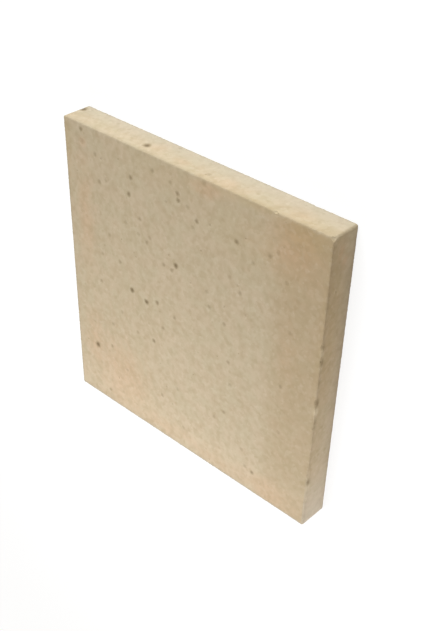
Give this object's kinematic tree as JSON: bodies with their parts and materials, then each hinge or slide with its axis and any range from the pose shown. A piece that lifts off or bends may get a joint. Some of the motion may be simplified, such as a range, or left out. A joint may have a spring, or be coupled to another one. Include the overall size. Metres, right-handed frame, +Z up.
{
  "type": "refractory firebrick slab",
  "caption": "Square buff fire-clay slab with eased arrises, small edge chips and iron-specked, grogged faces.",
  "frame": {"origin": "under the middle of the slab, on the surface that it lies on: the bottom centre of its box", "axes": "+Z up out of the upper bed face, which is the one in the picture; +X out of the head edge, which is uppermost in the picture; -Y out of the front edge, at the right in the picture, whose upper arris is chipped"},
  "size_m": [0.3, 0.3, 0.03],
  "materials": {
    "fireclay": "matte"
  },
  "bodies": {
    "root": {"firebrick_slab": "fireclay"}
  },
  "joints": []
}
